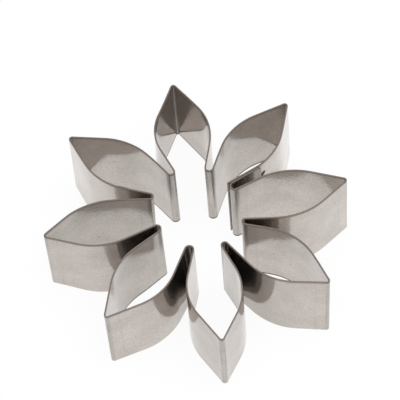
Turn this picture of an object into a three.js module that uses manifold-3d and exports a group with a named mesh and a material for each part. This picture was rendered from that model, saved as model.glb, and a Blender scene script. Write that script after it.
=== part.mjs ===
// Flower cutter for fondant: one long steel strip stood on edge and bent into eight leaf-shaped petals.
// The strip's two ends lap in one valley between petals and are held there by spot welds.
// Millimetres, +Z up. The cutting edge lies on Z = 0 and the Z axis is the middle of the ring of tips.

import * as THREE from "three";
import { mergeVertices } from "three/addons/utils/BufferGeometryUtils.js";
import Module from "manifold-3d";

// The strip.
const STRIP_DEPTH = 20;
const STRIP_THICKNESS = 0.35;

// Every bend is a round arc, and its radius is measured on the middle of the sheet.
const TIP_BEND = 0.6;
const STEPS_PER_BEND = 8;

// Petals, clockwise as seen from above, the first on +Y. They were bent by hand, so no two are quite alike.
// turn: degrees that the tip lies clockwise of its even eighth of the circle.
// reach: centre of the flower to the tip. belly: centre of the flower to where the petal is widest.
// left, right: half widths there, looking outwards. bend: radius of the petal's two sides there.
const PETALS = [
  { turn: 0.2, reach: 37.7, belly: 23, left: 6.7, right: 6.8, bend: 13 },
  { turn: 0.5, reach: 37.5, belly: 22.8, left: 6.4, right: 5.7, bend: 15 },
  { turn: -1.5, reach: 36.8, belly: 21.4, left: 6, right: 7.2, bend: 17 },
  { turn: -0.2, reach: 38.1, belly: 23.5, left: 5.8, right: 6.7, bend: 15 },
  { turn: 0.5, reach: 37.6, belly: 23, left: 7, right: 6, bend: 15 },
  { turn: 0, reach: 36.9, belly: 21.9, left: 6.9, right: 6.2, bend: 15 },
  { turn: -1, reach: 37.3, belly: 23.2, left: 5.6, right: 6.6, bend: 15 },
  { turn: -0.5, reach: 38.3, belly: 23.4, left: 5.9, right: 6.6, bend: 15 },
];

// Folds, the valleys between petals, each before the petal of the same place in the list above.
// out: centre of the flower to the centre of the bend. radius: of the bend.
// turn: degrees that the fold lies clockwise of the line halfway between two petals.
const FOLDS = [
  { out: 12.7, turn: 1.5, radius: 0.9 },
  { out: 12.2, turn: 1, radius: 1 },
  { out: 10.9, turn: -2, radius: 0.9 },
  { out: 12.4, turn: 7, radius: 0.8 },
  { out: 12.7, turn: 0.5, radius: 0.8 },
  { out: 12, turn: -4, radius: 0.8 },
  { out: 11.2, turn: 2, radius: 1 },
  { out: 12.1, turn: 5.5, radius: 0.8 },
];
const PETAL_PITCH = 360 / PETALS.length;

// The lap: the strip starts with a tab that folds back along the wall where the strip ends.
const LAPPED_PETAL = 2;
const TAB_LENGTH = 8.5;
const TAB_CORNER = 1.2;
const END_OVERHANG = 0.9;
const LAP_GAP = 0.4;

// Spot welds: nuggets of fused metal between the lapped layers.
const WELD_RADIUS = 1.5;
const WELD_ALONG_TAB = 4.5;
const WELD_CLEARANCE = 0.05;
const WELD_SIDES = 24;
const WELD_HEIGHTS = { lower: 5, upper: 15 };

const STEEL = new THREE.MeshStandardMaterial({ color: 0xbdb6ae, roughness: 0.3, metalness: 1 });
const WELD_STEEL = new THREE.MeshStandardMaterial({ color: 0x8f8780, roughness: 0.5, metalness: 1 });

const LEFT_TURN = 1;
const RIGHT_TURN = -1;
const QUARTER_TURN = Math.PI / 2;

// Unit vector at a compass bearing: degrees clockwise from +Y.
function bearing(degrees) {
  const angle = THREE.MathUtils.degToRad(degrees);
  return new THREE.Vector2(Math.sin(angle), Math.cos(angle));
}

// Unit vector along a heading in radians from +X, and the one to its left.
const ahead = (heading) => new THREE.Vector2(Math.cos(heading), Math.sin(heading));
const leftOf = (heading) => ahead(heading + QUARTER_TURN);

// The four bends of one petal in the order that the strip meets them, clockwise round the flower.
function petalBends(index) {
  const petal = PETALS[index];
  const fold = FOLDS[index];
  const middle = index * PETAL_PITCH;
  const axis = bearing(middle + petal.turn);
  const toRight = new THREE.Vector2(axis.y, -axis.x);
  const bellyCentre = (side, halfWidth) =>
    axis.clone().multiplyScalar(petal.belly).addScaledVector(toRight, side * (halfWidth - petal.bend));
  const foldCentre = bearing(middle - PETAL_PITCH / 2 + fold.turn).multiplyScalar(fold.out);
  const tipCentre = axis.clone().multiplyScalar(petal.reach - TIP_BEND);
  return [
    { centre: foldCentre, radius: fold.radius, sense: LEFT_TURN },
    { centre: bellyCentre(-1, petal.left), radius: petal.bend, sense: RIGHT_TURN },
    { centre: tipCentre, radius: TIP_BEND, sense: RIGHT_TURN },
    { centre: bellyCentre(1, petal.right), radius: petal.bend, sense: RIGHT_TURN },
  ];
}

// Heading of the straight wall that leaves one bend and meets the next, tangent to both.
function wallHeading(from, to) {
  const step = to.centre.clone().sub(from.centre);
  const rise = to.sense * to.radius - from.sense * from.radius;
  return step.angle() - Math.asin(rise / step.length());
}

// Point of a bend where the strip runs along a heading, moved to the left by side.
function bendPoint(bend, heading, side) {
  return bend.centre.clone().addScaledVector(leftOf(heading), side - bend.sense * bend.radius);
}

// The strip's middle line: its bends with the headings in and out of each, and its two ends.
function stripCourse() {
  const order = PETALS.map((_, step) => (LAPPED_PETAL + step) % PETALS.length);
  const bends = order.flatMap(petalBends);
  const lapFold = bends[0];
  const lapPitch = STRIP_THICKNESS + LAP_GAP;
  const lapRest = { centre: lapFold.centre, radius: lapFold.radius + lapPitch, sense: LEFT_TURN };
  const next = [...bends.slice(1), lapRest];
  bends.forEach((bend, i) => {
    bend.headingOut = wallHeading(bend, next[i]);
  });
  const lapHeading = bends.at(-1).headingOut;
  bends.forEach((bend, i) => {
    bend.headingIn = i === 0 ? lapHeading : bends[i - 1].headingOut;
  });
  return {
    bends,
    lapHeading,
    tabEnd: bendPoint(lapFold, lapHeading, 0).addScaledVector(ahead(lapHeading), -TAB_LENGTH),
    rawEnd: bendPoint(lapRest, lapHeading, 0).addScaledVector(ahead(lapHeading), END_OVERHANG),
  };
}

// Carries a shape along one face of the strip: each straight wall, then the arc of the bend that it runs into.
function followFace(shape, bends, side, forwards) {
  for (const bend of forwards ? bends : [...bends].reverse()) {
    const radius = bend.radius - bend.sense * side;
    const first = forwards ? bend.headingIn : bend.headingOut;
    const last = forwards ? bend.headingOut : bend.headingIn;
    const start = bendPoint(bend, first, side);
    const outwards = -bend.sense * QUARTER_TURN;
    const clockwise = (bend.sense === RIGHT_TURN) === forwards;
    shape.lineTo(start.x, start.y);
    shape.absarc(bend.centre.x, bend.centre.y, radius, first + outwards, last + outwards, clockwise);
  }
}

// The strip seen from above: along its left face, across the raw end, and back along its right face.
function stripOutline({ bends, lapHeading, tabEnd, rawEnd }) {
  const half = STRIP_THICKNESS / 2;
  const corner = (end, side) => end.clone().addScaledVector(leftOf(lapHeading), side);
  const start = corner(tabEnd, half);
  const turn = corner(rawEnd, half);
  const back = corner(rawEnd, -half);
  const close = corner(tabEnd, -half);
  const shape = new THREE.Shape();
  shape.moveTo(start.x, start.y);
  followFace(shape, bends, half, true);
  shape.lineTo(turn.x, turn.y);
  shape.lineTo(back.x, back.y);
  followFace(shape, bends, -half, false);
  shape.lineTo(close.x, close.y);
  return shape;
}

const wasm = await Module();
wasm.setup();

function toSolid(geometry) {
  const plain = geometry.clone().deleteAttribute("normal").deleteAttribute("uv");
  const merged = mergeVertices(plain);
  return new wasm.Manifold(
    new wasm.Mesh({
      numProp: 3,
      vertProperties: new Float32Array(merged.attributes.position.array),
      triVerts: new Uint32Array(merged.index.array),
    }),
  );
}

function toGeometry(solid) {
  const mesh = solid.getMesh();
  const geometry = new THREE.BufferGeometry();
  geometry.setAttribute("position", new THREE.BufferAttribute(mesh.vertProperties, 3));
  geometry.setIndex(new THREE.BufferAttribute(mesh.triVerts, 1));
  geometry.computeVertexNormals();
  return geometry;
}

// Frame of the tab's face: X outwards along the tab, Y up and Z square to the sheet.
function tabFrame({ lapHeading, tabEnd }) {
  const out = ahead(lapHeading).negate();
  const x = new THREE.Vector3(out.x, out.y, 0);
  const y = new THREE.Vector3(0, 0, 1);
  const z = x.clone().cross(y);
  return new THREE.Matrix4().makeBasis(x, y, z).setPosition(tabEnd.x, tabEnd.y, 0);
}

// What is cut off one of the tab's corners to round it. It stops short of the wall behind the tab.
function cornerWaste(frame, height, upwards) {
  const spare = LAP_GAP / 2;
  const inner = height - upwards * TAB_CORNER;
  const outer = height + upwards * spare;
  const waste = new THREE.Shape();
  waste.moveTo(spare, inner);
  waste.lineTo(spare, outer);
  waste.lineTo(-TAB_CORNER, outer);
  waste.lineTo(-TAB_CORNER, height);
  waste.absarc(-TAB_CORNER, inner, TAB_CORNER, upwards * QUARTER_TURN, 0, upwards > 0);
  const depth = STRIP_THICKNESS + LAP_GAP;
  const geometry = new THREE.ExtrudeGeometry(waste, {
    depth,
    bevelEnabled: false,
    curveSegments: STEPS_PER_BEND / 2,
  });
  return geometry.translate(0, 0, -depth / 2).applyMatrix4(frame);
}

function makeStrip(course) {
  const straight = new THREE.ExtrudeGeometry(stripOutline(course), {
    depth: STRIP_DEPTH,
    bevelEnabled: false,
    curveSegments: STEPS_PER_BEND / 2,
  });
  const frame = tabFrame(course);
  const solid = toSolid(straight)
    .subtract(toSolid(cornerWaste(frame, STRIP_DEPTH, 1)))
    .subtract(toSolid(cornerWaste(frame, 0, -1)));
  const mesh = new THREE.Mesh(toGeometry(solid), STEEL);
  mesh.name = "cutter_strip";
  return mesh;
}

// A weld nugget lies between the tab and the wall behind it, a hair clear of both sheets.
function makeWeld(course, name, height) {
  const thickness = LAP_GAP - 2 * WELD_CLEARANCE;
  const nugget = new THREE.CylinderGeometry(WELD_RADIUS, WELD_RADIUS, thickness, WELD_SIDES);
  const behindTab = leftOf(course.lapHeading).multiplyScalar((STRIP_THICKNESS + LAP_GAP) / 2);
  const place = course.tabEnd
    .clone()
    .addScaledVector(ahead(course.lapHeading), WELD_ALONG_TAB)
    .sub(behindTab);
  const mesh = new THREE.Mesh(nugget, WELD_STEEL);
  mesh.name = "spot_weld_" + name;
  mesh.position.set(place.x, place.y, height);
  mesh.rotation.z = course.lapHeading;
  return mesh;
}

const course = stripCourse();
const cutter = new THREE.Group();
cutter.name = "fondant_cutter";
cutter.add(makeStrip(course));
for (const [name, height] of Object.entries(WELD_HEIGHTS)) cutter.add(makeWeld(course, name, height));

export default cutter;
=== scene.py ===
# %% [markdown]
# A flower cutter for fondant. The real tool is one long strip of thin stainless sheet, stood on edge and
# bent round a jig into eight pointed petals. The strip's two ends lap in one valley and are spot-welded
# together. This lesson rebuilds the strip as one fine mesh, sets the two welds in the lap, gives both the
# finish of worked steel, and photographs the cutter on a white sheet.

# %% Load the fixed frame
import math

import bpy
import numpy as np
from mathutils import Matrix, Vector


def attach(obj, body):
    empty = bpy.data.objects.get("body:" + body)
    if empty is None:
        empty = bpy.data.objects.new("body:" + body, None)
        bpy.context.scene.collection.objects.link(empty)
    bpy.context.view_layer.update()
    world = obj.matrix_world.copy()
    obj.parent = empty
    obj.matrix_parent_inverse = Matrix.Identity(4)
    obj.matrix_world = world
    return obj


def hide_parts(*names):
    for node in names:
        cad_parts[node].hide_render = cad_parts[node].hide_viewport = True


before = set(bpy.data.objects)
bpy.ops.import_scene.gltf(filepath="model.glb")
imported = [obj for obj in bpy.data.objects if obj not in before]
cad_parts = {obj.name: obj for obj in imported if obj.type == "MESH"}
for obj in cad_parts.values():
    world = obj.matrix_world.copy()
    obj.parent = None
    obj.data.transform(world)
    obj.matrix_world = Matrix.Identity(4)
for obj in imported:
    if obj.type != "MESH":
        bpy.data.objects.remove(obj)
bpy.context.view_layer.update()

MM = 0.001


# %% [markdown]
# Sizes of the petals, in millimetres. No two petals of a hand-bent cutter are alike, so each petal has a row
# of its own, and so has each fold between two petals. One petal repeated eight times would be quicker, and
# would look stamped out by a machine.

# %% Sizes of the petals and folds
TIP_BEND = 0.6

# One row per petal, clockwise from +Y as seen from above: degrees that the tip is turned, reach of the tip,
# distance out to the belly, left and right half widths there, and the radius of the two sides there.
PETALS = np.array([
    (0.2, 37.7, 23.0, 6.7, 6.8, 13.0),
    (0.5, 37.5, 22.8, 6.4, 5.7, 15.0),
    (-1.5, 36.8, 21.4, 6.0, 7.2, 17.0),
    (-0.2, 38.1, 23.5, 5.8, 6.7, 15.0),
    (0.5, 37.6, 23.0, 7.0, 6.0, 15.0),
    (0.0, 36.9, 21.9, 6.9, 6.2, 15.0),
    (-1.0, 37.3, 23.2, 5.6, 6.6, 15.0),
    (-0.5, 38.3, 23.4, 5.9, 6.6, 15.0),
])

# One row per fold, each before the petal in the same row above: its distance out, the degrees that it is
# turned from the line halfway between two petals, and its radius.
FOLDS = np.array([
    (12.7, 1.5, 0.9),
    (12.2, 1.0, 1.0),
    (10.9, -2.0, 0.9),
    (12.4, 7.0, 0.8),
    (12.7, 0.5, 0.8),
    (12.0, -4.0, 0.8),
    (11.2, 2.0, 1.0),
    (12.1, 5.5, 0.8),
])
PETAL_COUNT = len(PETALS)
PITCH = 360 / PETAL_COUNT
print(PETAL_COUNT, "petals, reaching", PETALS[:, 1].min(), "to", PETALS[:, 1].max(), "mm")

# %% [markdown]
# Sizes of the strip and of its lap. The strip starts with a tab that folds back along the wall where the
# strip ends, which gives the welds two layers to join. A closed ring would be simpler to model, but that
# valley would then look like the other seven.

# %% Sizes of the strip and its lap
STRIP_DEPTH = 20.0
STRIP_THICKNESS = 0.35

# The petal that the strip starts with, counted from 0, and the tab that lies before its fold.
LAPPED_PETAL = 2
TAB_LENGTH = 8.5
TAB_CORNER = 1.2
END_OVERHANG = 0.9
LAP_GAP = 0.4
LAP_PITCH = STRIP_THICKNESS + LAP_GAP
print(f"strip {STRIP_DEPTH} by {STRIP_THICKNESS} mm, with middle lines {LAP_PITCH} mm apart in the lap")

# %% [markdown]
# The strip's course. On the bench, a maker marks the bends on the flat strip and folds it round pins, so the
# course is a belt: an arc round each pin and a straight wall between two pins. A spline through points could
# follow the same outline, but a belt keeps the walls straight and the bends round, as the jig leaves them.

# %% Bends of the strip, in the order that the strip meets them
LEFT_TURN = 1.0
RIGHT_TURN = -1.0


def bearing(degrees):
    """Unit vectors at compass bearings: sine and cosine of the angle clockwise from +Y."""
    angle = np.radians(degrees)
    return np.stack([np.sin(angle), np.cos(angle)], axis=-1)


def petal_bends():
    """Centres, radii and senses of every bend: fold, left belly, tip and right belly of each petal in turn.

    A belly's centre lies beside the petal's axis, so that its arc passes the axis at the half width."""
    turn, reach, belly, left, right, bend = PETALS.T
    fold_out, fold_turn, fold_radius = FOLDS.T
    middle = PITCH * np.arange(PETAL_COUNT)
    axis = bearing(middle + turn)
    to_right = np.stack([axis[:, 1], -axis[:, 0]], axis=-1)
    fold = bearing(middle - PITCH / 2 + fold_turn) * fold_out[:, None]
    left_belly = axis * belly[:, None] - to_right * (left - bend)[:, None]
    tip = axis * (reach - TIP_BEND)[:, None]
    right_belly = axis * belly[:, None] + to_right * (right - bend)[:, None]
    centres = np.stack([fold, left_belly, tip, right_belly], axis=1)
    centres = np.roll(centres, -LAPPED_PETAL, axis=0).reshape(-1, 2)
    radii = np.stack([fold_radius, bend, np.full(PETAL_COUNT, TIP_BEND), bend], axis=1)
    radii = np.roll(radii, -LAPPED_PETAL, axis=0).ravel()
    senses = np.tile([LEFT_TURN, RIGHT_TURN, RIGHT_TURN, RIGHT_TURN], PETAL_COUNT)
    return centres, radii, senses


centres, radii, senses = petal_bends()
print(len(radii), "bends, with radii of", radii.min(), "to", radii.max(), "mm")

# %% [markdown]
# A wall leaves one pin and meets the next, so it is tangent to both. Its heading follows from the two pins'
# centres and radii. The tangent could also be found by trying headings until the wall touches, but the
# formula is exact.


# %% Walls between the bends
def ahead(heading):
    """Unit vectors along headings in radians from +X."""
    return np.stack([np.cos(heading), np.sin(heading)], axis=-1)


def left_of(heading):
    """Unit vectors a quarter turn to the left of the headings."""
    return ahead(heading + math.pi / 2)


def wall_headings():
    """Headings of the walls that leave each bend and meet the next one, tangent to both.

    It is the angle from centre to centre, less the arcsine of the change of signed radius over the distance.
    The last wall rests on the first fold, one lap pitch outside it."""
    signed = senses * radii
    next_centres = np.roll(centres, -1, axis=0)
    next_signed = np.append(signed[1:], radii[0] + LAP_PITCH)
    step = next_centres - centres
    distance = np.hypot(step[:, 0], step[:, 1])
    return np.arctan2(step[:, 1], step[:, 0]) - np.arcsin((next_signed - signed) / distance)


headings_out = wall_headings()
lap_heading = headings_out[-1]
headings_in = np.concatenate([[lap_heading], headings_out[:-1]])
turns = (headings_out - headings_in + math.pi) % (2 * math.pi) - math.pi
print("bends turn the strip by up to", np.degrees(np.abs(turns)).max().round(0), "degrees")

# %% [markdown]
# The middle line is sampled closely where the strip bends sharply and more loosely on the walls. Bright
# metal shows every facet in its reflections, so a step turns the strip by a few degrees at most. Even steps
# would be simpler, but would take many times as many points for bends as round. The walls of the lap are
# sampled closely too, because the welds will dent them.

# %% Points along the middle line
STEP_LENGTH = 0.8
LAP_STEP = 0.3
STEP_TURN = math.radians(4)
FEWEST_STEPS = 2


def spaced(start, end, count):
    """Count steps from start towards end, without the end itself."""
    return start + (end - start) * np.arange(count)[:, None] / count


def strip_course():
    """Points and headings along the strip's middle line, from the tab's end to the raw end, and the rows
    where each bend starts and ends.

    A point on a bend is its centre moved right or left of the heading by the radius. Walls join the arcs."""
    tab_root = centres[0] - left_of(lap_heading) * radii[0]
    rest = tab_root - left_of(lap_heading) * LAP_PITCH
    last_point = tab_root - ahead(lap_heading) * TAB_LENGTH
    raw_end = rest + ahead(lap_heading) * END_OVERHANG
    points, headings, bends = [], [], []

    def add_wall(start, end, heading, step):
        """A wall in even steps, none longer than the step, all with one heading."""
        count = max(FEWEST_STEPS, math.ceil(np.hypot(*(end - start)) / step))
        points.append(spaced(start, end, count))
        headings.append(np.full(count, heading))

    step = LAP_STEP
    for centre, radius, sense, heading, turn in zip(centres, radii, senses, headings_in, turns):
        add_wall(last_point, centre - left_of(heading) * sense * radius, heading, step)
        step = STEP_LENGTH
        count = math.ceil(max(abs(turn) / STEP_TURN, abs(turn) * radius / STEP_LENGTH))
        along_bend = spaced(np.array([heading]), np.array([heading + turn]), count)[:, 0]
        first = sum(map(len, points))
        bends.append((first, first + count))
        points.append(centre - left_of(along_bend) * sense * radius)
        headings.append(along_bend)
        last_point = centre - left_of(heading + turn) * sense * radius
    add_wall(last_point, raw_end, lap_heading, LAP_STEP)
    points.append(raw_end[None])
    headings.append(np.array([lap_heading]))
    return np.concatenate(points), np.concatenate(headings), np.array(bends)


course, headings, bends = strip_course()
run = np.concatenate([[0], np.cumsum(np.hypot(*np.diff(course, axis=0).T))])
print(f"strip {run[-1]:.0f} mm long in {len(course)} steps")

# %% [markdown]
# A sharp bend holds the sheet stiff and marks its skin, so each step of the course keeps its distance past
# the nearest fold and the nearest tip. It is measured along the strip, because a mark spreads along the
# sheet and never across the air to the next wall, however near that wall is.

# %% Distances past the bends
SHARP_RADIUS = 2.0


def past_bends(sense):
    """Distance of each step past the nearest sharp bend of a sense, below 0 on the bend itself."""
    first, last = run[bends[(radii < SHARP_RADIUS) & (senses == sense)]].T
    return np.maximum(first - run[:, None], run[:, None] - last).min(axis=1)


past_folds = past_bends(LEFT_TURN)
past_tips = past_bends(RIGHT_TURN)
print(f"walls reach {np.minimum(past_folds, past_tips).max():.1f} mm past the nearest sharp bend")

# %% [markdown]
# The strip's section is a tall thin rectangle with its four corners just broken, as a file leaves a sheared
# edge. Carried along the course it becomes a grid: one row per step of the course, one column per point of
# the section. Heights crowd together at the two edges, which need crisp shading, and round the welds. A
# Solidify modifier on a bare sheet would be quicker, but would leave the edges square.

# %% Section of the strip
EDGE_EASE = 0.025
EASE_STEPS = 2
EDGE_RINGS = np.array([0.0, 0.03, 0.15, 0.3, 0.52, 1.3])
MIDDLE_RINGS = np.array([8.4, 10.0, 11.6])
WELD_HEIGHTS = (5.0, 15.0)
WELD_SPREAD = 1.8
WELD_RINGS = 9


def face_levels():
    """Heights up a face as shares of it: at its ends, close to them, at the middle and round the welds."""
    near_weld = np.linspace(-WELD_SPREAD, WELD_SPREAD, WELD_RINGS)
    heights = np.concatenate([EDGE_RINGS, STRIP_DEPTH - EDGE_RINGS, MIDDLE_RINGS,
                              WELD_HEIGHTS[0] + near_weld, WELD_HEIGHTS[1] + near_weld])
    return np.sort(heights) / STRIP_DEPTH


def strip_section():
    """Side and height of points round the section: up the left face, over the top and down the right face.

    Corners are quarter circles. Level counts from 0 to 1 between the centres of the corners, and rim is the
    part of the height that lies beyond them."""
    inner = face_levels()[1:-1]
    corner = np.linspace(0, math.pi / 2, EASE_STEPS + 1)
    half = STRIP_THICKNESS / 2
    up_side = np.concatenate([
        half - EDGE_EASE * (1 - np.sin(corner)),
        np.full(len(inner), half),
        half - EDGE_EASE * (1 - np.cos(corner)),
    ])
    up_level = np.concatenate([np.zeros(EASE_STEPS + 1), inner, np.ones(EASE_STEPS + 1)])
    up_rim = EDGE_EASE * np.concatenate([-np.cos(corner), np.zeros(len(inner)), np.sin(corner)])
    side = np.concatenate([up_side, -up_side[::-1]])
    return side, np.concatenate([up_level, up_level[::-1]]), np.concatenate([up_rim, up_rim[::-1]])


section_side, section_level, section_rim = strip_section()
print(len(section_side), "points round the section")

# %% [markdown]
# The lap is worked by hand. The corners of the tab are rounded, two spot welds join it to the wall, and it is
# pressed onto the wall, most of all at its curled end. Press and corners are formulas of the distance along
# the strip. They could be cut and bent on the finished mesh, but here the grid keeps its even rows.

# %% Tab and welds
WELD_ALONG_TAB = 4.5

# The press comes in over the fold and is full where the tab starts, and the end of the tab curls in.
TAB_PRESS = 0.26
PRESS_FROM = TAB_LENGTH + 2.0
PRESS_TO = TAB_LENGTH - 0.5
TAB_CURL = 0.12
CURL_LENGTH = 2.5

weld_run = np.array([WELD_ALONG_TAB, run[-1] - END_OVERHANG - TAB_LENGTH + WELD_ALONG_TAB])


def smooth_step(start, end, value):
    """0 before the start, 1 past the end, and an s-curve between: three times the square less twice the cube
    of the share of the way. The start may be the larger of the two."""
    share = np.clip((value - start) / (end - start), 0, 1)
    return share * share * (3 - 2 * share)


def corner_inset(distance):
    """How much a rounded corner takes off the height, at a distance from the tab's end: a quarter circle."""
    inside = np.clip(TAB_CORNER - distance, 0, TAB_CORNER)
    return TAB_CORNER - np.sqrt(TAB_CORNER ** 2 - inside ** 2)


def weld_distance(along, height):
    """Distance of each point of the sheet from the nearest weld on its own layer of the lap."""
    distances = [np.hypot(along - weld, height - level) for weld in weld_run for level in WELD_HEIGHTS]
    return np.min(distances, axis=0)


def tab_press(along):
    """How far the tab is pressed onto the wall: two s-curves, one over its fold and one at its curled end."""
    pressed = TAB_PRESS * smooth_step(PRESS_FROM, PRESS_TO, along)
    return pressed + TAB_CURL * smooth_step(CURL_LENGTH, 0, along)


print(f"welds {weld_run[0]:.1f} mm along the strip on the tab, {weld_run[1]:.1f} mm on the wall behind it")

# %% [markdown]
# Hand work shows in the sheet: each weld dents both layers, and the walls are never quite flat. All of it is
# a small sideways move of the sheet before the mesh is made. Sculpting the finished mesh would give the same
# look, but moving the sheet keeps its thickness.

# %% Small moves of the sheet
WELD_RADIUS = 1.5
WELD_DENT = 0.06

# Two waves of the walls: their depth, their lengths along and up the strip, and where they start past a bend
# and reach full depth.
WAVE_DEPTH = 0.006
WAVES_ALONG = (1.7, 2.9)
WAVES_UP = (5.0, 7.0)
WAVE_START, WAVE_FULL = 0.5, 4.0


def sheet_move(along, height, past_bend):
    """Move of the sheet to the left: the tab's press, the dents of the welds and a slow wave on the walls.

    A dent is the square of one less the square of its distance over its radius. The wave is a product and a
    sum of sines along and up the strip, and dies out at the bends."""
    inside = np.clip(1 - (weld_distance(along, height) / WELD_RADIUS) ** 2, 0, 1)
    dent = WELD_DENT * inside ** 2 * np.where(along < TAB_LENGTH, -1, 1)
    wave = np.sin(along / WAVES_ALONG[0]) * np.cos(height / WAVES_UP[0])
    wave = wave + np.sin(along / WAVES_ALONG[1] + height / WAVES_UP[1])
    return dent - tab_press(along) + WAVE_DEPTH * wave * smooth_step(WAVE_START, WAVE_FULL, past_bend)


print("welds dent the sheet by", WELD_DENT, "mm, and waves move the walls by up to", 2 * WAVE_DEPTH, "mm")

# %% [markdown]
# A strip bent by hand springs a little off the jig, so a wall stands beside the jig's line by a few tenths of
# a millimetre. Its lower edge may splay outwards or inwards, and the petals and folds lean a little. Bright
# walls mirror each other, so even a small splay moves the dark and light bands inside the petals. The moves
# are tables with a row per petal. Random noise would be shorter, but couldn't follow the photographed cutter.

# %% Tables of stand-off, splay and lean
# How far each petal's lower edge stands towards the front, and the lower end of its tip towards the right.
LEAN = np.array([0.42, 0.5, 0.0, 0.65, 0.0, 0.0, 0.0, 0.16])
TIP_LEAN = np.array([0.0, 0.0, -0.01, -0.5, -0.1, 0.15, 0.12, -0.1])

# How far the lower end of the fold before each petal stands to the right, and back.
FOLD_LEAN = np.array([
    (0.0, 0.0),
    (0.0, 0.0),
    (0.0, 0.0),
    (-0.25, 0.0),
    (-0.55, 0.7),
    (0.7, 0.25),
    (0.25, 0.35),
    (0.0, 0.0),
])

# How far the strip stands outside the jig's line. Each petal has a row: the fold before it, its left neck,
# belly and shoulder, its tip, and its right shoulder, belly and neck.
STAND_OFF = np.array([
    (0.0, 0.0, 0.0, -0.1, 0.0, 0.15, 0.05, 0.1),
    (0.0, 0.1, 0.0, 0.0, 0.0, 0.15, 0.0, 0.0),
    (0.0, 0.0, 0.0, 0.0, 0.0, -0.1, 0.0, 0.1),
    (0.0, 0.15, 0.2, 0.3, 0.0, 0.0, 0.0, 0.0),
    (0.0, 0.0, 0.0, 0.0, 0.0, 0.0, 0.0, -0.2),
    (-0.25, -0.15, 0.0, 0.0, 0.0, 0.0, 0.0, 0.1),
    (0.0, 0.1, 0.0, 0.0, 0.0, 0.1, 0.1, 0.45),
    (0.0, -0.05, 0.0, 0.15, 0.0, 0.0, 0.0, 0.25),
])

# How far the lower edge stands outside the top edge, at the same places.
SPLAY = np.array([
    (-0.1, 0.1, 0.4, 0.0, 0.0, -0.25, -0.2, 0.0),
    (0.0, 0.0, 0.1, 0.15, 0.0, 0.0, 0.0, 0.0),
    (0.0, -0.05, -0.15, -0.1, 0.0, 0.0, 0.05, 0.2),
    (0.2, 0.05, -0.1, -0.05, 0.0, -0.05, -0.1, 0.2),
    (0.45, 0.3, 0.15, 0.1, 0.0, 0.05, 0.1, 0.2),
    (0.35, 0.6, 0.2, 0.1, 0.0, 0.0, 0.0, -0.3),
    (0.1, 0.5, 0.4, 0.2, 0.0, -0.15, -0.3, -0.4),
    (0.5, 0.8, 0.5, 0.25, 0.0, -0.05, -0.1, -0.1),
])
print("walls stand", np.abs(STAND_OFF).max(), "mm off the jig's line and splay", SPLAY.max(), "mm at most")

# %% [markdown]
# The tables give values at a few places only, and sheet metal has no kinks between them. So stand-off and
# splay are read along the strip on a smooth curve through the values. Straight lines between them would do
# for a dull strip, but a bright one would show each corner as a crease in its reflections.

# %% Tables read along the strip
# Distance along the strip to the middle of each bend.
bend_run = run[bends].mean(axis=1)


def eased(places, values, at):
    """Values read between places along a smooth curve: cubics that share the slope at every place."""
    slope = np.gradient(values, places)
    before = np.clip(np.searchsorted(places, at) - 1, 0, len(places) - 2)
    after = before + 1
    width = places[after] - places[before]
    share = np.clip((at - places[before]) / width, 0, 1)
    curve = values[before] + (values[after] - values[before]) * smooth_step(0, 1, share)
    leave, arrive = share * (1 - share) ** 2, share ** 2 * (share - 1)
    return curve + width * (leave * slope[before] + arrive * slope[after])


def along_strip(petal_rows):
    """A table's values at each step of the course, eased between the bends and the middles of the walls, and
    0 at the raw end."""
    stops = np.append(bend_run, run[-1])
    places = np.append(np.stack([bend_run, (stops[:-1] + stops[1:]) / 2], axis=1), run[-1])
    return eased(places, np.append(np.roll(petal_rows, -LAPPED_PETAL, axis=0), 0), run)


stand_off, splay = along_strip(STAND_OFF), along_strip(SPLAY)
print(f"stand-off runs from {stand_off.min():.2f} to {stand_off.max():.2f} mm along the strip")

# %% [markdown]
# A lean moves a whole petal or fold, both its walls together, so it is read by compass bearing. Read along
# the strip, it would let the two walls of a petal drift apart. The lean of a tip dies out towards the belly,
# and that of a fold does too, from the other side.

# %% Lean of the petals and folds
TIP_LEAN_FROM, TIP_LEAN_FULL = 18.0, 36.0
FOLD_LEAN_FROM, FOLD_LEAN_FULL = 20.0, 12.0


def between_bearings(values, angle):
    """Values at eight even compass bearings, read in straight lines between them at other angles."""
    return np.interp(angle % 360, PITCH * np.arange(PETAL_COUNT + 1), np.append(values, values[0]))


def lean_at(points):
    """Lean to the right and back for points in plan, read by bearing between petals and between folds.

    The tips' lean grows from the bellies to the tips, and the folds' lean from the bellies to the folds."""
    angle = np.degrees(np.arctan2(points[..., 0], points[..., 1]))
    reach = np.hypot(points[..., 0], points[..., 1])
    to_tip = smooth_step(TIP_LEAN_FROM, TIP_LEAN_FULL, reach)
    to_fold = smooth_step(FOLD_LEAN_FROM, FOLD_LEAN_FULL, reach)
    fold_right, fold_back = (between_bearings(values, angle + PITCH / 2) for values in FOLD_LEAN.T)
    right = between_bearings(TIP_LEAN, angle) * to_tip + fold_right * to_fold
    return np.stack([right, fold_back * to_fold - between_bearings(LEAN, angle)], axis=-1)


print(f"the strip's lower edge leans by up to {np.hypot(*lean_at(course).T).max():.2f} mm")

# %% [markdown]
# The surface is the section carried along the course, with every small move added at its own point. Blender
# could bevel a curve into a strip too, but that has no place for moves that change with height.


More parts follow.
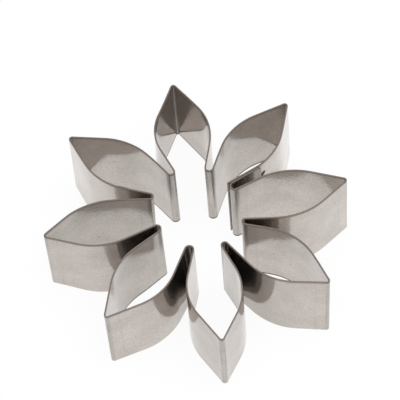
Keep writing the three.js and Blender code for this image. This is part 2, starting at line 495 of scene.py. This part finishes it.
# %% Surface of the strip
def strip_surface():
    """Grid of points: the course moved sideways by the section's side, the sheet's own moves and its
    stand-off, at the section's height. Splay and lean grow in proportion to the depth below the top edge."""
    inset = corner_inset(run)[:, None] + EDGE_EASE
    height = inset + (STRIP_DEPTH - 2 * inset) * section_level + section_rim
    along = np.broadcast_to(run[:, None], height.shape)
    past_bend = np.minimum(past_folds, past_tips)[:, None]
    below = 1 - height / STRIP_DEPTH
    sideways = section_side + sheet_move(along, height, past_bend)
    sideways += stand_off[:, None] + splay[:, None] * below
    flat = course[:, None] + left_of(headings)[:, None] * sideways[..., None]
    flat += lean_at(flat) * below[..., None]
    return np.concatenate([flat, height[..., None]], axis=-1)


strip_points = strip_surface()
print("strip grid", strip_points.shape[:2])

# %% [markdown]
# The steel's finish follows the strip, not the room: rolling marks run along it, bend marks stand across it
# and heat marks ring the welds. So every point carries its place on the flat strip, as an attribute that the
# material reads. A UV map could hold the place, but an attribute also holds which face it is on. Painted
# light and shade make some walls brighter than others, which is a second attribute.

# %% Places on the flat sheet, and painted light of its walls
FACE_APART = 6.0

# Painted light and shade: how bright each petal's left and right wall is against the rest.
WALL_PAINTED_LIGHT = np.array([
    (1.02, 1.02),
    (1.0, 1.06),
    (1.08, 1.03),
    (1.07, 0.93),
    (0.94, 0.97),
    (1.05, 0.93),
    (1.01, 0.92),
    (1.05, 1.0),
])


def sheet_places():
    """Place of each point on the flat strip: along it, up it, and a value that keeps the two faces apart."""
    along = np.broadcast_to(run[:, None], strip_points.shape[:2])
    face = np.broadcast_to(np.sign(section_side) * FACE_APART, along.shape)
    return np.stack([along, strip_points[..., 2], face], axis=-1)


def painted_wall_light():
    """Painted light and shade: brightness of the sheet, eased between the bellies of the walls, as a grey
    colour at each point.

    Every second bend is a belly."""
    bright = eased(bend_run[1::2], np.roll(WALL_PAINTED_LIGHT, -LAPPED_PETAL, axis=0).ravel(), run)
    return np.broadcast_to(bright[:, None, None], strip_points.shape)


sheet_marks = {"sheet": sheet_places(), "painted_light_of_walls": painted_wall_light()}
print(f"polish runs from {sheet_marks['painted_light_of_walls'].min():.2f} to {sheet_marks['painted_light_of_walls'].max():.2f}")

# %% [markdown]
# Cut edges, welds and bends mark the sheet near them, so every point also carries its nearness to each. A
# bend stretches the skin on its outer side and pinches it on its inner side, so the two faces keep their own
# distances. Painted masks could do this, but a distance stays sharp however close the camera comes.

# %% Distances to edges, welds and bends
TOP_EDGE_BAND = 0.15
TOP_EDGE_FADE = 0.4
LOWER_EDGE_BAND = 0.3
LOWER_EDGE_FADE = 0.2
# How much painted shade the creases of folds and of tips take.
FOLD_CREASE_SHADE = 0.5
TIP_CREASE_SHADE = 0.4


def edge_marks():
    """Nearness to the top and ends, and to the lower edge inside the petals, both falling from 1 to 0 over a
    fade, and distance to the nearest weld."""
    along, height, _ = np.moveaxis(sheet_marks["sheet"], -1, 0)
    inset = corner_inset(run)[:, None] + EDGE_EASE
    top = 1 - np.clip((STRIP_DEPTH - inset - height - TOP_EDGE_BAND) / TOP_EDGE_FADE, 0, 1)
    lower = 1 - np.clip((height - inset - LOWER_EDGE_BAND) / LOWER_EDGE_FADE, 0, 1)
    lower = lower * (section_side < 0)
    top[[0, -1]] = 1
    return np.stack([top, lower, weld_distance(along, height)], axis=-1)


def bend_distances():
    """Distance past the nearest bend that stretches a face, and past the nearest one that pinches it, and how
    much painted shade that pinched crease takes."""
    on_left = section_side > 0
    stretched = np.where(on_left, past_tips[:, None], past_folds[:, None])
    pinched = np.where(on_left, past_folds[:, None], past_tips[:, None])
    shade_in_crease = np.broadcast_to(np.where(on_left, FOLD_CREASE_SHADE, TIP_CREASE_SHADE), pinched.shape)
    return np.stack([stretched, pinched, shade_in_crease], axis=-1)


sheet_marks["edges"] = edge_marks()
sheet_marks["bends"] = bend_distances()
print("attributes of the sheet:", ", ".join(sheet_marks))

# %% [markdown]
# A finish is a network of nodes. A few helpers keep each one short enough to read as a recipe: add a node
# with its inputs, read an attribute, work out a number, and map a range to another. The nodes could be placed
# by hand in the shader editor, but then no value would have a name.


# %% Helpers for nodes
def add_node(material, kind, inputs, **settings):
    """A shader node with its settings made. Each input takes a plain value or the output of another node."""
    tree = material.node_tree
    node = tree.nodes.new("ShaderNode" + kind)
    for name, value in settings.items():
        setattr(node, name, value)
    for name, value in inputs.items():
        if isinstance(value, bpy.types.NodeSocket):
            tree.links.new(value, node.inputs[name])
        else:
            node.inputs[name].default_value = value
    return node


def attribute(material, name):
    """The three values that the mesh keeps at each point under a name."""
    return add_node(material, "Attribute", {}, attribute_name=name).outputs["Vector"]


def apart(material, vector):
    """Three values, each as an output of its own."""
    return add_node(material, "SeparateXYZ", {"Vector": vector}).outputs


def arithmetic(material, operation, first, second):
    """Two numbers added, multiplied or joined by another operation."""
    return add_node(material, "Math", {0: first, 1: second}, operation=operation).outputs[0]


def remap(material, value, old, new):
    """A value's range from old to new, with a smooth start and end, and held at the ends of the range."""
    inputs = {"Value": value, "From Min": old[0], "From Max": old[1], "To Min": new[0], "To Max": new[1]}
    return add_node(material, "MapRange", inputs, interpolation_type="SMOOTHSTEP").outputs["Result"]


# %% [markdown]
# Three more helpers are for metal. Noise on the flat sheet gives mottling and streaks, one colour is laid
# over another as marks and painted shade lie over steel, and a bare metal is the shader that both finishes
# start from. It could be all metal, but real sheet scatters a little light at its skin, so it is slightly
# less.

# %% Bare metal
METAL = 0.96

# A Mix node has inputs and outputs for every kind of value. These are the numbers of those for colours.
UNDER_COLOUR, OVER_COLOUR, MIXED_COLOUR = 6, 7, 2


def clouds(material, place, per_unit, detail):
    """Soft noise, with its number of clouds to a unit of place given along, up and through the sheet."""
    spread = add_node(material, "Mapping", {"Vector": place, "Scale": per_unit}).outputs[0]
    return add_node(material, "TexNoise", {"Vector": spread, "Scale": 1.0, "Detail": detail}).outputs[0]


def lay_over(material, amount, under, over, way="MIX"):
    """One colour laid over another by an amount."""
    inputs = {"Factor": amount, UNDER_COLOUR: under, OVER_COLOUR: over}
    return add_node(material, "Mix", inputs, data_type="RGBA", blend_type=way).outputs[MIXED_COLOUR]


def metal(name):
    """A new material with a metal shader joined to its output."""
    material = bpy.data.materials.new(name)
    material.use_nodes = True
    shader = material.node_tree.nodes["Principled BSDF"]
    shader.inputs["Metallic"].default_value = METAL
    return material, shader


steel, steel_shader = metal("satin_steel")
print("bare metal:", len(steel.node_tree.nodes), "nodes")

# %% [markdown]
# Rolled stainless sheet is a soft mirror. Its colour is an even warm grey with fine mottling, slow clouds
# from handling, faint streaks along the strip from the rolls and a few specks. Painted light makes the sheet
# lighter towards its lower edge and a little darker at the top. One noise for everything would be shorter,
# but these marks differ in size and direction, so each has its own.

# %% Tone of the rolled sheet, with painted light towards its lower edge
# Each mark: clouds to a millimetre along, up and through the sheet, their detail, the range of the noise that
# counts, and the lightness from its start to its end.
MOTTLING = ((2.2, 2.2, 2.2), 3, (0.25, 0.75), (0.91, 1.09))
SLOW_CLOUDS = ((0.13, 0.16, 0.2), 3, (0.3, 0.7), (0.94, 1.06))
ROLLED_STREAKS = ((0.12, 5.0, 0.2), 2, (0.3, 0.7), (0.98, 1.02))
SPECKS = ((1.1, 1.1, 0.7), 0, (0.81, 0.86), (1.0, 0.65))
# Painted light: the sheet's lightness at its lower edge and at its top edge.
PAINTED_LIGHT_AT_FOOT = 1.06
PAINTED_LIGHT_AT_TOP = 0.97


def steel_tone(material, place):
    """Lightness of the sheet round 1: painted light from the lower edge's to the top edge's, times that of
    every mark.
    """
    height = apart(material, place)[1]
    tone = remap(material, height, (0, STRIP_DEPTH), (PAINTED_LIGHT_AT_FOOT, PAINTED_LIGHT_AT_TOP))
    for per_mm, detail, counted, lightness in (MOTTLING, SLOW_CLOUDS, ROLLED_STREAKS, SPECKS):
        mark = remap(material, clouds(material, place, per_mm, detail), counted, lightness)
        tone = arithmetic(material, "MULTIPLY", tone, mark)
    return tone


sheet_place = attribute(steel, "sheet")
sheet_tone = steel_tone(steel, sheet_place)
print("with the rolled sheet's tone:", len(steel.node_tree.nodes), "nodes")

# %% [markdown]
# Sharp bends stretch the skin, so it is duller there, with upright streaks, and the bending jaw leaves a
# faint line beside it. Inside the petals, towards the top, painted shade darkens a band where a fold starts
# and the skin for some way beside it. The same marks could be painted on each wall, but distances put them
# on all at once.

# %% Skin stretched by the bends, and painted shade beside the folds
# Upright streaks: clouds to a millimetre, their detail and the range of the noise that counts.
UPRIGHT_PER_MM = (3.5, 0.06, 0.3)
UPRIGHT_DETAIL = 1
UPRIGHT_COUNTED = (0.3, 0.7)

# Distances past a bend between which the stretched skin ends, and the lightness of its streaks.
STRETCH_END = (-0.1, 0.35)
STREAK_TONE = (0.74, 0.98)

# The line of the jaw: its distance past a bend, its half width and its lightness.
JAW_LINE = 2.6
JAW_REACH = 0.3
JAW_TONE = 0.93

# The band of painted shade: its distance past a bend, its half width and how dark its streaks are.
SHADE_BAND_PAST_FOLD = 0.15
SHADE_BAND_REACH = 0.9
SHADE_BAND_DARK = (0.6, 0.3)

# The painted shade beside a fold: how far it reaches, and how dark it is at the fold.
SHADE_BESIDE_FOLD = 5.0
SHADE_BESIDE_DARK = 0.14

# Heights between which the band and the painted shade beside the fold come in.
INSIDE_FROM, INSIDE_FULL = 7, 18
WHITE = (1, 1, 1, 1)
BLACK = (0, 0, 0, 1)


def ridge(material, value, middle, reach):
    """1 where a value is at its middle, falling to 0 at a reach on both sides: a rise times a fall."""
    rise = remap(material, value, (middle - reach, middle), (0, 1))
    fall = remap(material, value, (middle, middle + reach), (1, 0))
    return arithmetic(material, "MULTIPLY", rise, fall)


def upper_inside(material, place):
    """On the face inside the petals, which the folds stretch: 1 at the top, fading to 0 below the middle."""
    _, height, face = apart(material, place)
    inside = arithmetic(material, "LESS_THAN", face, 0.0)
    upper = remap(material, height, (INSIDE_FROM, INSIDE_FULL), (0, 1))
    return arithmetic(material, "MULTIPLY", inside, upper)


def stretched_skin_and_fold_shade(material, place, past_stretch):
    """How far a bend has stretched the skin, from 0 to 1, and its lightness: the streaks times the jaw's
    line, darkened by painted shade in a band where a fold starts and beside it, towards the top inside the
    petals."""
    stretch = remap(material, past_stretch, STRETCH_END, (1, 0))
    upright = clouds(material, place, UPRIGHT_PER_MM, UPRIGHT_DETAIL)
    streaks = remap(material, upright, UPRIGHT_COUNTED, STREAK_TONE)
    jaw = remap(material, ridge(material, past_stretch, JAW_LINE, JAW_REACH), (0, 1), (1, JAW_TONE))
    tone = lay_over(material, 1.0, lay_over(material, stretch, WHITE, streaks), jaw, "MULTIPLY")
    # Painted shade: the band where a fold starts and the skin beside it are darkened towards the top inside
    # the petals.
    shade_band = arithmetic(material, "MULTIPLY", ridge(material, past_stretch, SHADE_BAND_PAST_FOLD, SHADE_BAND_REACH),
                      remap(material, upright, UPRIGHT_COUNTED, SHADE_BAND_DARK))
    beside = remap(material, past_stretch, (0, SHADE_BESIDE_FOLD), (SHADE_BESIDE_DARK, 0))
    inside = upper_inside(material, place)
    for dark in (shade_band, beside):
        tone = lay_over(material, arithmetic(material, "MULTIPLY", dark, inside), tone, BLACK)
    return stretch, tone


past_stretch, past_pinch, crease_shade_share = apart(steel, attribute(steel, "bends"))
stretch, bend_marks_and_shade = stretched_skin_and_fold_shade(steel, sheet_place, past_stretch)
print("with the stretched skin:", len(steel.node_tree.nodes), "nodes")

# %% [markdown]
# On its inner side a bend pinches the skin into a crease, which painted shade darkens. Welding leaves
# marks too: a straw ring, a blue ring and the dull face of the weld. Just past the tab's end, a dark oval of
# painted shade lies on the wall. Rings could be textures laid on the mesh, but the distance to the weld draws
# them by itself.

# %% Painted shade in the creases and past the tab's end, and heat marks
CREASE_SHADE = (0.12, 0.09, 0.065, 1)
PINCH_END = (-0.1, 0.1)

# Marks of a weld, each over the last: where it starts to fade and ends past the weld's radius, how strong it
# is, and its colour.
STRAW_RING = (0.0, 1.6, 0.6, (0.5, 0.36, 0.2, 1))
BLUE_RING = (-0.3, 0.6, 0.6, (0.2, 0.22, 0.3, 1))
WELD_FACE = (-0.5, 0.0, 1.0, (0.36, 0.33, 0.31, 1))

# The painted shade past the tab's end: its place past the tab's end and up the wall, its slant and half
# sizes, and where its rim fades as shares of those.
TAB_END_SHADE = (0.03, 0.026, 0.022, 1)
TAB_END_SHADE_PAST = 0.75
TAB_END_SHADE_HEIGHT = 15.8
TAB_END_SHADE_SLANT = math.radians(-42)
TAB_END_SHADE_SIZE = (1.1, 0.75, 1.0)
TAB_END_SHADE_RIM = (0.7, 1.05)


def heat_marks(material, colour, weld_gap):
    """A colour with the marks of a weld laid over it by distance, and how much of the weld's face shows."""
    for start, end, strength, heat in (STRAW_RING, BLUE_RING, WELD_FACE):
        amount = remap(material, weld_gap, (WELD_RADIUS + start, WELD_RADIUS + end), (strength, 0))
        colour = lay_over(material, amount, colour, heat)
    return colour, amount


def tab_end_shade_mark(material, place):
    """A slanted oval of painted shade past the tab's end: 1 inside and 0 outside, by distance as a share of
    its half sizes.
    """
    middle = (run[-1] - END_OVERHANG - TAB_LENGTH - TAB_END_SHADE_PAST, TAB_END_SHADE_HEIGHT, FACE_APART)
    inputs = {"Vector": place, "Location": middle, "Rotation": (0, 0, TAB_END_SHADE_SLANT), "Scale": TAB_END_SHADE_SIZE}
    oval = add_node(material, "Mapping", inputs, vector_type="TEXTURE").outputs[0]
    distance = add_node(material, "VectorMath", {0: oval}, operation="LENGTH").outputs["Value"]
    return remap(material, distance, TAB_END_SHADE_RIM, (1, 0))


# Painted shade darkens the pinched creases.
pinch = remap(steel, past_pinch, PINCH_END, (1, 0))
bend_marks_and_shade = lay_over(steel, arithmetic(steel, "MULTIPLY", pinch, crease_shade_share), bend_marks_and_shade, CREASE_SHADE)
tab_end_shade = tab_end_shade_mark(steel, sheet_place)
print("with grime and scorch:", len(steel.node_tree.nodes), "nodes")

# %% [markdown]
# The colour of the finish is the steel's own, times every tone, with the marks of heat, the painted shade
# past the tab's end, the dark top edge and a dark band along the lower edge inside the petals laid over it.
# The top edge and the ends are also less of a mirror. They could be faces with a material of their own, but a
# soft change from face to edge looks more like a filed one.

# %% Colour of the satin steel
STEEL = (0.495, 0.455, 0.423, 1)
TOP_EDGE = (0.26, 0.21, 0.18, 1)
LOWER_EDGE = (0.08, 0.066, 0.058, 1)
CUT_METAL = 0.45

top, lower, weld_gap = apart(steel, attribute(steel, "edges"))
colour = STEEL
# Painted light and shade multiply the colour here: the sheet's tone is lighter at the foot, each wall has its
# own painted light, and the bend marks hold painted shade by the folds and in the creases.
for tone in (sheet_tone, attribute(steel, "painted_light_of_walls"), bend_marks_and_shade):
    colour = lay_over(steel, 1.0, colour, tone, "MULTIPLY")
colour, weld_face = heat_marks(steel, colour, weld_gap)
# Laid over the colour: painted shade past the tab's end, the dark top edge, and a dark band along the lower
# edge inside the petals.
for amount, mark in ((tab_end_shade, TAB_END_SHADE), (top, TOP_EDGE), (lower, LOWER_EDGE)):
    colour = lay_over(steel, amount, colour, mark)
edge_metal = remap(steel, top, (0, 1), (METAL, CUT_METAL))
steel.node_tree.links.new(edge_metal, steel_shader.inputs["Metallic"])
print("with its colour:", len(steel.node_tree.nodes), "nodes")

# %% [markdown]
# Most marks also roughen the mirror, so that they look dull and not only dark. A fine grain bends the
# reflections a little, as rolled sheet does. It is a hundredth of a millimetre deep and would take millions
# of faces to model, so a bump in the material stands for it.

# %% Roughness and grain of the satin steel
# Roughness of the sheet from its dark to its light tones, and what each mark adds to it.
TONE_RANGE = (0.85, 1.15)
SHEET_ROUGH = (0.15, 0.09)
STRETCH_ROUGH = 0.14
CREASE_ROUGH = 0.36
WELD_ROUGH = 0.2
TAB_END_SHADE_ROUGH = 0.3
EDGE_ROUGH = 0.25

GRAIN_PER_MM = (1.3, 1.3, 1.3)
GRAIN_DETAIL = 2
GRAIN_DEPTH = 0.01


def join_shader(material, shader, colour, rough, noise, depth):
    """A finish's colour and roughness joined to its metal shader, with a bump of a depth in millimetres."""
    bump = add_node(material, "Bump", {"Height": noise, "Distance": depth * MM, "Strength": 1.0})
    links = material.node_tree.links
    links.new(colour, shader.inputs["Base Color"])
    links.new(rough, shader.inputs["Roughness"])
    links.new(bump.outputs[0], shader.inputs["Normal"])


rough = remap(steel, sheet_tone, TONE_RANGE, SHEET_ROUGH)
for amount, more in ((stretch, STRETCH_ROUGH), (pinch, CREASE_ROUGH), (weld_face, WELD_ROUGH),
                     (tab_end_shade, TAB_END_SHADE_ROUGH), (top, EDGE_ROUGH)):
    rough = arithmetic(steel, "ADD", rough, arithmetic(steel, "MULTIPLY", amount, more))
grain = clouds(steel, sheet_place, GRAIN_PER_MM, GRAIN_DETAIL)
join_shader(steel, steel_shader, colour, rough, grain, GRAIN_DEPTH)
print("satin steel:", len(steel.node_tree.nodes), "nodes")

# %% [markdown]
# The strip as a mesh. Its grid closes on itself across the section, and each end is closed by a row of quads
# from one face to the other. One face of many corners would close an end too, but Blender would then choose
# how to cut it into triangles.


# %% Bent strip
def grid_faces(rows, columns):
    """Quads of a grid that closes on itself across its columns, and the quads that close its two ends.

    A quad takes a point, the next in its row, and the same two in the row after."""
    row, column = np.meshgrid(np.arange(rows - 1), np.arange(columns), indexing="ij")
    beside = (column + 1) % columns
    wall = np.stack([row * columns + column, row * columns + beside,
                     (row + 1) * columns + beside, (row + 1) * columns + column], axis=-1).reshape(-1, 4)
    up = np.arange(columns // 2 - 1)
    down = columns - 1 - up
    cap = np.stack([up, down, down - 1, up + 1], axis=-1)
    return wall, cap, cap[:, ::-1] + (rows - 1) * columns


def mesh_from_grid(name, points, material, attributes):
    """A mesh object at the origin from a grid of points in millimetres, smooth on its walls and flat at its
    ends."""
    rows, columns = points.shape[:2]
    wall, first_cap, last_cap = grid_faces(rows, columns)
    faces = np.concatenate([wall, first_cap, last_cap])
    mesh = bpy.data.meshes.new(name)
    mesh.from_pydata((points.reshape(-1, 3) * MM).tolist(), [], faces.tolist())
    mesh.polygons.foreach_set("use_smooth", np.arange(len(faces)) < len(wall))
    for label, values in attributes.items():
        mesh.attributes.new(label, "FLOAT_VECTOR", "POINT").data.foreach_set("vector", values.ravel())
    mesh.materials.append(material)
    mesh.update()
    piece = bpy.data.objects.new(name, mesh)
    bpy.context.scene.collection.objects.link(piece)
    print(name, len(mesh.vertices), "points,", 2 * len(faces), "triangles")
    return piece


strip = mesh_from_grid("bent_strip", strip_points, steel, sheet_marks)
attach(strip, "root")
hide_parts("cutter_strip")

# %% [markdown]
# Weld steel melted and set again, so it has lost the sheet's rolled skin. It is dull, dark grey and pitted.
# The sheet's own finish could be used again, but would look too clean. A weld has no flat sheet to follow,
# so its mottling reads Object coordinates, which count in metres.

# %% Weld steel
FUSED_DARK = (0.22, 0.2, 0.2, 1)
FUSED_LIGHT = (0.45, 0.41, 0.38, 1)
FUSED_PER_M = (2000, 2000, 2000)
FUSED_DETAIL = 4
FUSED_DEPTH = 0.03

# The range of the noise that counts for the colour, that for the roughness, and the roughness itself.
FUSED_TONE = (0.35, 0.65)
FUSED_PITS = (0.3, 0.7)
FUSED_ROUGH = (0.38, 0.6)


def weld_steel():
    """Fused metal: mottled from dark to light, and rough."""
    material, shader = metal("weld_steel")
    place = add_node(material, "TexCoord", {}).outputs["Object"]
    mottle = clouds(material, place, FUSED_PER_M, FUSED_DETAIL)
    colour = lay_over(material, remap(material, mottle, FUSED_TONE, (0, 1)), FUSED_DARK, FUSED_LIGHT)
    rough = remap(material, mottle, FUSED_PITS, FUSED_ROUGH)
    join_shader(material, shader, colour, rough, mottle, FUSED_DEPTH)
    return material


fused = weld_steel()
print("weld steel:", len(fused.node_tree.nodes), "nodes")

# %% [markdown]
# A spot weld is a lens of metal that melted between the two sheets and set again. Only its rim shows, deep in
# the lap. It is a surface of revolution: a lens profile turned about the line through both sheets. A squashed
# sphere would do, but a profile gives the flat, squeezed-out rim that a weld has.

# %% Weld nuggets
NUGGET_SIDES = 48
NUGGET_STEPS = 12
NUGGET_HALF = 0.15
NUGGET_RIM = 0.06
NUGGET_SWEEP = 0.97


def nugget_surface(height):
    """Grid of a lens: rings round the line through the sheets, from a small flat by the tab to one by the
    wall.

    Half the thickness is the rim's, plus the rest times one less the square of the radius over the weld's
    radius."""
    lap_middle = (LAP_PITCH + tab_press(WELD_ALONG_TAB)) / 2
    root = centres[0] - left_of(lap_heading) * (radii[0] + lap_middle)
    middle = root - ahead(lap_heading) * (TAB_LENGTH - WELD_ALONG_TAB)
    sweep = np.linspace(NUGGET_SWEEP, -NUGGET_SWEEP, 2 * NUGGET_STEPS + 1)
    reach = WELD_RADIUS * np.sin(math.pi / 2 * (1 - np.abs(sweep)))
    lens = NUGGET_RIM + (NUGGET_HALF - NUGGET_RIM) * (1 - (reach / WELD_RADIUS) ** 2)
    through = np.sign(sweep) * lens
    angle = np.linspace(0, 2 * math.pi, NUGGET_SIDES, endpoint=False)
    along = np.cos(angle) * reach[:, None]
    flat = middle + ahead(lap_heading) * along[..., None] + left_of(lap_heading) * through[:, None, None]
    flat += lean_at(middle) * (1 - height / STRIP_DEPTH)
    up = height + np.sin(angle) * reach[:, None]
    return np.concatenate([flat, up[..., None]], axis=-1)


for place_name, height in zip(("lower", "upper"), WELD_HEIGHTS):
    nugget = mesh_from_grid("weld_nugget_" + place_name, nugget_surface(height), fused, {})
    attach(nugget, "root")
    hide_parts("spot_weld_" + place_name)

# %% [markdown]
# The white sheet under the cutter. Seen directly it is paper white, and bright metal mirrors it, so the
# camera and the reflections see it near full white. A view of it by several mirrors comes from deep between
# the walls, where a real sheet lies in shade, so its glow falls with every mirror from the second on. A
# plain white material would be simpler, but would need so much light that the steel would wash out.

# %% White paper
SEEN_GLOW = 0.93
SEEN_PAPER = (0.09, 0.09, 0.09, 1)
MIRRORED_GLOW = 0.76
MIRRORED_PAPER = (0.46, 0.46, 0.46, 1)
PLAIN_PAPER = (0.85, 0.85, 0.85, 1)
DEEP_SHADE = 0.5
DEEP_FROM = 1.9


def paper(material, colour, glow):
    """A diffuse sheet with a little light of its own."""
    diffuse = add_node(material, "BsdfDiffuse", {"Color": colour})
    light = add_node(material, "Emission", {"Strength": glow})
    return add_node(material, "AddShader", {0: diffuse.outputs[0], 1: light.outputs[0]}).outputs[0]


def white_floor():
    """Paper that is white to the camera and in glass, near white in mirrors, and plain for the light it
    scatters.

    Its glow in mirrors is multiplied by a share raised to the number of mirrors past a count, which needn't
    be whole."""
    material = bpy.data.materials.new("white_floor")
    material.use_nodes = True
    material.node_tree.nodes.clear()
    path = add_node(material, "LightPath", {}).outputs
    mirrors = arithmetic(material, "SUBTRACT", path["Glossy Depth"], DEEP_FROM)
    shade = arithmetic(material, "POWER", DEEP_SHADE, arithmetic(material, "MAXIMUM", mirrors, 0.0))
    mirrored = paper(material, MIRRORED_PAPER, arithmetic(material, "MULTIPLY", shade, MIRRORED_GLOW))
    plain = add_node(material, "BsdfDiffuse", {"Color": PLAIN_PAPER}).outputs[0]
    seen = paper(material, SEEN_PAPER, SEEN_GLOW)
    direct = arithmetic(material, "MAXIMUM", path["Is Camera Ray"], path["Is Transmission Ray"])
    by_mirror = add_node(material, "MixShader", {0: path["Is Glossy Ray"], 1: plain, 2: mirrored})
    by_eye = add_node(material, "MixShader", {0: direct, 1: by_mirror.outputs[0], 2: seen})
    add_node(material, "OutputMaterial", {"Surface": by_eye.outputs[0]})
    return material


floor_paper = white_floor()
print("white paper:", len(floor_paper.node_tree.nodes), "nodes")

# %% [markdown]
# The floor is one large square, and lies a little below the cutting edge so that the two never share a plane.
# A curved backdrop would do for a low camera, but this one looks down and sees no horizon.

# %% White floor
FLOOR_HALF = 2.0
FLOOR_DROP = 0.02

floor_corners = np.array([(-1, -1, 0), (1, -1, 0), (1, 1, 0), (-1, 1, 0)]) * FLOOR_HALF
floor_mesh = bpy.data.meshes.new("floor")
floor_mesh.from_pydata((floor_corners - (0, 0, FLOOR_DROP * MM)).tolist(), [], [(0, 1, 2, 3)])
floor_mesh.materials.append(floor_paper)
floor = bpy.data.objects.new("floor", floor_mesh)
bpy.context.scene.collection.objects.link(floor)
print("floor", 2 * FLOOR_HALF, "m square")

# %% [markdown]
# Light. A tabletop picture like this is taken in a light tent: soft light from everywhere, and a softbox
# above and in front. The walls mirror only the white sheet, and the top edge mirrors the tent, which is
# dimmer. A single lamp would be simpler, but would cast the hard shadows that a tent is there to remove.

# %% Studio light
TENT_LIGHT = 0.45
SOFTBOX_SIZE = 0.8
SOFTBOX_POWER = 2.8
SOFTBOX_PLACE = Vector((0.1, -0.1, 0.7))

world = bpy.data.worlds.new("tent")
bpy.context.scene.world = world
world.use_nodes = True
background = world.node_tree.nodes["Background"]
background.inputs["Color"].default_value = WHITE
background.inputs["Strength"].default_value = TENT_LIGHT
softbox_light = bpy.data.lights.new("softbox", "AREA")
softbox_light.shape = "SQUARE"
softbox_light.size = SOFTBOX_SIZE
softbox_light.energy = SOFTBOX_POWER
softbox = bpy.data.objects.new("softbox", softbox_light)
softbox.location = SOFTBOX_PLACE
softbox.rotation_euler = (-SOFTBOX_PLACE).to_track_quat("-Z", "Y").to_euler()
bpy.context.scene.collection.objects.link(softbox)
print("softbox", SOFTBOX_POWER, "W")

# %% [markdown]
# The camera looks down at the cutter from the front, a little from the left, with a long lens and a slight
# roll. Its place is worked out from a bearing, an elevation and a distance, because those are what a
# photographer would move. A place and three angles would say the same, but be harder to adjust.

# %% Camera
CAMERA_BEARING = 5.177
CAMERA_ELEVATION = 55.48
CAMERA_ROLL = 5.22
CAMERA_DISTANCE = 582.6
CAMERA_AIM = (1.09, 2.12, 20.0)
FOCAL_LENGTH = 217.1
SENSOR = 36.0


def camera_turn():
    """Turn of the camera, and its line of sight: it looks along a bearing, tips down by the elevation, and
    rolls about that line."""
    flat = bearing(CAMERA_BEARING)
    elevation = math.radians(CAMERA_ELEVATION)
    forward = Vector((flat[0] * math.cos(elevation), flat[1] * math.cos(elevation), -math.sin(elevation)))
    level = Vector((flat[1], -flat[0], 0))
    up = level.cross(forward)
    roll = math.radians(CAMERA_ROLL)
    right = level * math.cos(roll) - up * math.sin(roll)
    top = up * math.cos(roll) + level * math.sin(roll)
    return Matrix((right, top, -forward)).transposed(), forward


turn, forward = camera_turn()
camera_place = (Vector(CAMERA_AIM) - forward * CAMERA_DISTANCE) * MM
camera_data = bpy.data.cameras.new("camera")
camera_data.lens = FOCAL_LENGTH
camera_data.sensor_width = SENSOR
camera_data.sensor_fit = "HORIZONTAL"
camera = bpy.data.objects.new("camera", camera_data)
camera.matrix_world = Matrix.Translation(camera_place) @ turn.to_4x4()
bpy.context.scene.collection.objects.link(camera)
bpy.context.scene.camera = camera
bpy.context.scene.view_settings.view_transform = "Standard"
print("camera at", [round(value, 3) for value in camera_place])
